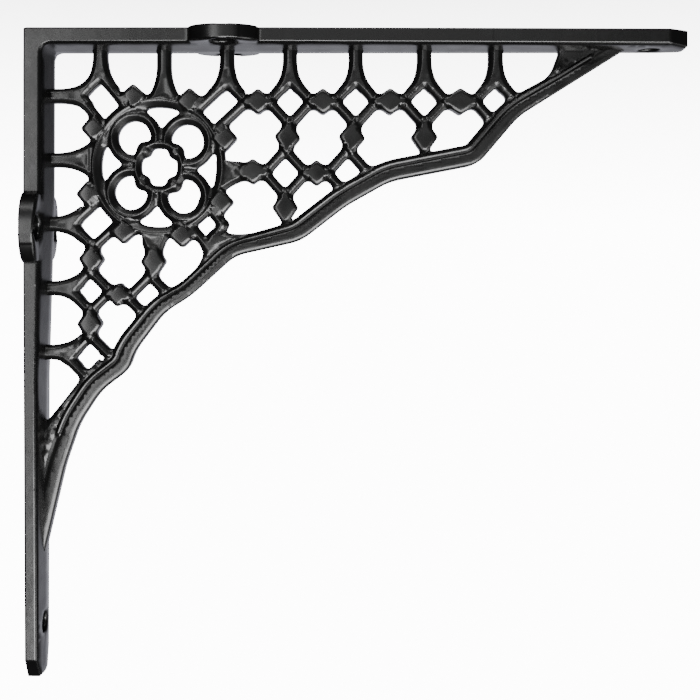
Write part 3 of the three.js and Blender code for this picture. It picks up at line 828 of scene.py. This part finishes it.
def rosette_height(p):
    """Half thickness of the rings, the petals and the knots."""
    height = ring_ridge(p, CREST_MIDDLE, RING_INNER - RING_SPILL, RING_CREST,
                        RING_OUTER + RING_SPILL, RING_FACE)
    fade = ease(radius_from(p, ROSETTE), HUB_INNER + PETAL_FADE, HUB_CREST)
    for centre in PETAL_CENTRES:
        petal = ring_ridge(p, centre, PETAL_INNER, PETAL_CREST, PETAL_OUTER, PETAL_FACE)
        height = higher(height, petal * fade)
    height = higher(height, ring_ridge(p, ROSETTE, HUB_INNER, HUB_CREST, HUB_OUTER, PETAL_FACE))
    for centre in KNOTS:
        inner = np.clip(HUB_KNOT - radius_from(p, centre), 0, None)
        lump = EDGE_HEIGHT + (PETAL_FACE - EDGE_HEIGHT) * ease(inner, *KNOT_RISE)
        height = higher(height, lump * (inner > 0))
    return height


def bead_height(p, centre, half_u, half_v, angle):
    """Half thickness of a bead, which has a domed face and a bevelled edge; 0 beside it."""
    inner = -to_bead(p, centre, half_u, half_v, angle)
    q = seen_along(p, centre, angle) / (half_u, half_v)
    face = BEAD_FACE + BEAD_CROWN * (1 - (q * q).sum(1))
    return np.where(inner > 0, face - BEAD_FALL * rounded(inner, BEAD_BEVEL) / BEAD_BEVEL, 0)


def past(p, starts, ends):
    """0 before the starts, one for each arm, and 1 past the ends."""
    return np.maximum(ease(p[:, 0], starts[0], ends[0]), ease(-p[:, 1], starts[1], ends[1]))


def rim_height(p, height, across, beyond):
    """The web's height, thinner over the corner plates and led into the section of the rim."""
    plate_ends = np.array(PLATE_ENDS)
    thinned = past(p, PLATE_THINNED_FROM, PLATE_THINNED_TO) * ease(beyond, 0.0, PLATE_EDGE_RUN)
    ending = 1 - PLATE_END_SHARE * past(p, plate_ends - PLATE_FADE, plate_ends)
    height = height * (1 - PLATE_THINNING * thinned * ending)
    bead_ends = np.array(BEAD_ENDS)
    past_bead = past(p, bead_ends - BEAD_FADE, bead_ends + BEAD_FADE)
    section = np.interp(across, RIM_ACROSS, RIM_HEIGHTS) * (1 - past_bead)
    section += np.interp(across, PLATE_ACROSS, PLATE_HEIGHTS) * past_bead
    in_rim = ease(-beyond, -RIM_BLEND, RIM_BLEND)
    return height * (1 - in_rim) + section * in_rim


def web_height(p, d):
    """Half thickness of the web where its outline lies a distance -d away."""
    deep = np.clip(-d, 0, None)
    half = bar_width(p[:, 0]) / 2
    across = rim_across(p)
    beyond = -across * np.interp(p[:, 0], RIM_PLACES, RIM_WIDTHS)
    height = ridge(np.clip(half - deep, 0, None), half, BAR_CREST, EDGE_HEIGHT)
    height -= ROOT_SINK * np.clip(deep - half, 0, ROOT_SINK_RUN) * ease(beyond, *SINK_FROM_RIM)
    from_ring = radius_from(p, RING_MIDDLE)
    within = ease(from_ring, RING_CREST + RING_FADE[0], RING_CREST + RING_FADE[1])
    floor = EDGE_HEIGHT + FLOOR_SLOPE * np.clip(deep, 0, FLOOR_RUN)
    height = height * (1 - within) + floor * within
    near = from_ring < RING_OUTER + 1
    height[near] = higher(height[near], rosette_height(p[near]))
    for centre, half_u, half_v, angle in BEADS:
        near = np.all(np.abs(p - centre) < max(half_u, half_v) + 1, axis=1)
        face = bead_height(p[near], centre, half_u, half_v, angle)
        height[near] = higher(height[near], face, BEAD_SEAM)
    return rim_height(p, height, across, beyond) - rounded(deep, SIDE_ROUND)


def web_guides():
    """Crests and breaks of the carving, where the mesh gets edges, each with its levels."""
    bands = [-CREST_BAND, -CREST_ROUND, 0.0, CREST_ROUND, CREST_BAND]

    def circle(centre, radius):
        return lambda p: radius_from(p, centre) - radius

    def petal(centre):
        def place(p):
            beyond_hub = radius_from(p, ROSETTE) >= HUB_CREST
            return np.where(beyond_hub, radius_from(p, centre) - PETAL_CREST, NO_CREST)
        return place

    crests = [circle(CREST_MIDDLE, RING_CREST), circle(ROSETTE, HUB_CREST)]
    crests += [petal(centre) for centre in PETAL_CENTRES]
    middles = [(a + b) / 2 for a, b in zip(RIM_ACROSS, RIM_ACROSS[1:]) if b < RIM_BAND]
    return [(crest, bands) for crest in crests] + [(rim_across, RIM_ACROSS[1:-1] + middles)]


def web_lined(p):
    """Where the guide lines of the rim and the rosette lie close together."""
    across = rim_across(p)
    lined = (across > 0) & (across < RIM_BAND)
    crests = [(CREST_MIDDLE, RING_CREST), (ROSETTE, HUB_CREST)]
    crests += [(centre, PETAL_CREST) for centre in PETAL_CENTRES]
    for centre, radius in crests:
        lined |= np.abs(radius_from(p, centre) - radius) < CREST_BAND + CREST_CLEARANCE
    return lined


def web_sheet():
    """The web lying flat, alike above and below."""
    steps = np.arange(-CARVED_REACH, CARVED_REACH, CARVED_STEP)
    close = RING_MIDDLE + np.stack(np.meshgrid(steps, steps), -1).reshape(-1, 2)
    verts, faces = plan_mesh(web_field, WEB_LOW, WEB_HIGH, WEB_LEVELS, WEB_LOOSE_STEP,
                             WEB_LOOSE_FROM, close, web_guides(), web_lined)

    def front(p):
        return web_height(p, web_field(p))

    return double_sheet(verts, faces, front, lambda p: -front(p), 0)


# Bracket
# The whole casting is one piece of grey iron. The two arms and the web are drawn flat and set in
# their places, with the origin on the wall face midway between the ears of the wall arm.
SHARP_FROM = math.radians(62)
MERGE_WITHIN = 1e-7


def cast_mesh():
    """The web and the two arms, each drawn flat, turned to face the way it does on the wall."""
    web, web_faces = web_sheet()
    shelf, shelf_faces = arm_sheet(SHELF_ARM, SHELF_TIP_HOLE_INSET, shelf_thickness, shelf_slope,
                                   WALL_CORNER_THICKNESS, 0.0, 0.0)
    wall, wall_faces = arm_sheet(WALL_ARM, WALL_TIP_HOLE_INSET, wall_thickness, wall_slope,
                                 SHELF_CORNER_THICKNESS, WALL_ARM_START, CORNER_REACH)
    placed = [
        np.column_stack([web[:, 0], -web[:, 2], web[:, 1]]),
        np.column_stack([shelf[:, 0], shelf[:, 1], -shelf[:, 2]]),
        np.column_stack([wall[:, 2], wall[:, 1], -wall[:, 0]]),
    ]
    joined, faces, count = [], [], 0
    for verts, tris in zip(placed, [web_faces, shelf_faces, wall_faces]):
        joined.append(verts + (0, 0, EAR_PLACE))
        faces.append(tris + count)
        count += len(verts)
    points = np.vstack(joined) * MM
    tris = np.vstack(faces)
    mesh = bpy.data.meshes.new("cast_bracket")
    mesh.vertices.add(len(points))
    mesh.vertices.foreach_set("co", points.ravel())
    mesh.loops.add(tris.size)
    mesh.loops.foreach_set("vertex_index", tris.ravel())
    mesh.polygons.add(len(tris))
    mesh.polygons.foreach_set("loop_start", np.arange(0, tris.size, 3))
    mesh.update(calc_edges=True)
    mesh.validate()
    made = bmesh.new()
    made.from_mesh(mesh)
    bmesh.ops.remove_doubles(made, verts=made.verts, dist=MERGE_WITHIN)
    bmesh.ops.recalc_face_normals(made, faces=made.faces)
    made.to_mesh(mesh)
    made.free()
    mesh.shade_smooth()
    mesh.set_sharp_from_angle(angle=SHARP_FROM)
    return mesh


# Paint
# Black enamel brushed over the grey iron. It is smooth and half glossy, and the grain of the sand
# and the slow waves of the brushed coat show softly in it.
PAINT = "0B0B0B"
GRAIN_SIZE = 0.9
GRAIN_DEPTH = 0.06
WAVE_SIZE = 7.0
WAVE_DEPTH = 0.4


def colour(text):
    """A hex colour as the linear values that Blender wants."""
    def linear(value):
        value /= 255
        return value / 12.92 if value <= 0.04045 else ((value + 0.055) / 1.055) ** 2.4
    return tuple(linear(int(text[i:i + 2], 16)) for i in (0, 2, 4)) + (1.0,)


def add_node(tree, kind, inputs=None, **settings):
    """A node with its inputs set, or linked where the value is another node's output."""
    node = tree.nodes.new(kind)
    for name, value in settings.items():
        setattr(node, name, value)
    for name, value in (inputs or {}).items():
        if isinstance(value, bpy.types.NodeSocket):
            tree.links.new(value, node.inputs[name])
        else:
            node.inputs[name].default_value = value
    return node


def painted_iron():
    material = bpy.data.materials.new("painted_iron")
    material.use_nodes = True
    tree = material.node_tree
    tree.nodes.clear()
    place = add_node(tree, "ShaderNodeTexCoord").outputs["Object"]
    fine = add_node(tree, "ShaderNodeTexNoise", {
        "Vector": place, "Scale": 1 / (GRAIN_SIZE * MM), "Detail": 3.0})
    broad = add_node(tree, "ShaderNodeTexNoise", {
        "Vector": place, "Scale": 1 / (WAVE_SIZE * MM), "Detail": 2.0})
    waves = add_node(tree, "ShaderNodeBump", {
        "Strength": 0.2, "Distance": WAVE_DEPTH * MM, "Height": broad.outputs["Fac"]})
    grain = add_node(tree, "ShaderNodeBump", {
        "Strength": 0.1, "Distance": GRAIN_DEPTH * MM, "Height": fine.outputs["Fac"],
        "Normal": waves.outputs["Normal"]})
    rough = add_node(tree, "ShaderNodeMapRange", {
        "Value": broad.outputs["Fac"], "From Min": 0.35, "From Max": 0.65,
        "To Min": 0.24, "To Max": 0.31})
    paint = add_node(tree, "ShaderNodeBsdfPrincipled", {
        "Base Color": colour(PAINT), "Roughness": rough.outputs["Result"],
        "Normal": grain.outputs["Normal"]})
    output = add_node(tree, "ShaderNodeOutputMaterial")
    tree.links.new(paint.outputs["BSDF"], output.inputs["Surface"])
    return material


bracket = bpy.data.objects.new("cast_bracket", cast_mesh())
bpy.context.scene.collection.objects.link(bracket)
bracket.data.materials.append(painted_iron())
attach(bracket, "root")
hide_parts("bracket")

# Light
# A white photographer's tent. Soft lamps stand low in front and to the right, tall on the left and
# high in front, with a weak one between, and the cloth glows behind the bracket. Where the camera
# sees the cloth, it is painted darker towards the top: painted shade of a shadow on the cloth.
LIT_POINT = (0.1, 0.0, -0.02)
GLOW_TOWARD = (0.12, 0.92, -0.33)


def area_light(name, place, size, power):
    """A soft lamp that faces the bracket."""
    light = bpy.data.lights.new(name, "AREA")
    light.shape = "RECTANGLE"
    light.size, light.size_y = size
    light.energy = power
    holder = bpy.data.objects.new(name, light)
    holder.location = place
    holder.rotation_euler = (Vector(LIT_POINT) - Vector(place)).to_track_quat("-Z", "Y").to_euler()
    bpy.context.scene.collection.objects.link(holder)


area_light("low_right", (0.75, -0.25, -0.6), (0.5, 0.7), 4.0)
area_light("low_front", (0.26, -1.1, -0.52), (0.9, 0.4), 22.0)
area_light("tall_left", (-0.36, -1.05, 0.06), (0.25, 0.66), 3.6)
area_light("front_fill", (0.12, -1.1, 0.28), (0.8, 0.16), 0.5)
area_light("high_front", (0.1, -0.8, 0.95), (0.9, 0.2), 5.0)

world = bpy.data.worlds.new("white_room")
bpy.context.scene.world = world
world.use_nodes = True
air = world.node_tree
air.nodes.clear()
seen = add_node(air, "ShaderNodeLightPath").outputs["Is Camera Ray"]
toward = add_node(air, "ShaderNodeTexCoord").outputs["Generated"]
side = add_node(air, "ShaderNodeVectorMath", {0: toward, 1: GLOW_TOWARD}, operation="DOT_PRODUCT")
glow = add_node(air, "ShaderNodeMapRange", {
    "Value": side.outputs["Value"], "From Min": 0.7, "From Max": 1.0,
    "To Min": 0.02, "To Max": 1.0})
up = add_node(air, "ShaderNodeSeparateXYZ", {"Vector": toward})
# Painted shade: the backdrop that only the camera sees is made darker towards the top, standing in
# for a shadow on the white cloth.
backdrop_shade = add_node(air, "ShaderNodeMapRange", {
    "Value": up.outputs["Z"], "From Min": 0.02, "From Max": 0.2,
    "To Min": 13.0, "To Max": 5.5})
behind = add_node(air, "ShaderNodeBackground", {
    "Color": colour("FFFFFF"), "Strength": backdrop_shade.outputs["Result"]})
around_it = add_node(air, "ShaderNodeBackground", {
    "Color": colour("F4F4FF"), "Strength": glow.outputs["Result"]})
both = add_node(air, "ShaderNodeMixShader", {
    "Fac": seen, 1: around_it.outputs["Background"], 2: behind.outputs["Background"]})
add_node(air, "ShaderNodeOutputWorld", {"Surface": both.outputs["Shader"]})

# Camera
# A long lens level with the ears of the wall arm, with its frame shifted down and to the side.
camera = bpy.data.cameras.new("camera")
camera.sensor_width = 36.0
camera.lens = 64.3
camera.shift_x = 0.043
camera.shift_y = -0.143
viewpoint = bpy.data.objects.new("camera", camera)
viewpoint.location = (0.1027, -0.4443, -0.0078)
viewpoint.rotation_euler = (math.pi / 2, 0, 0)
bpy.context.scene.collection.objects.link(viewpoint)
bpy.context.scene.camera = viewpoint
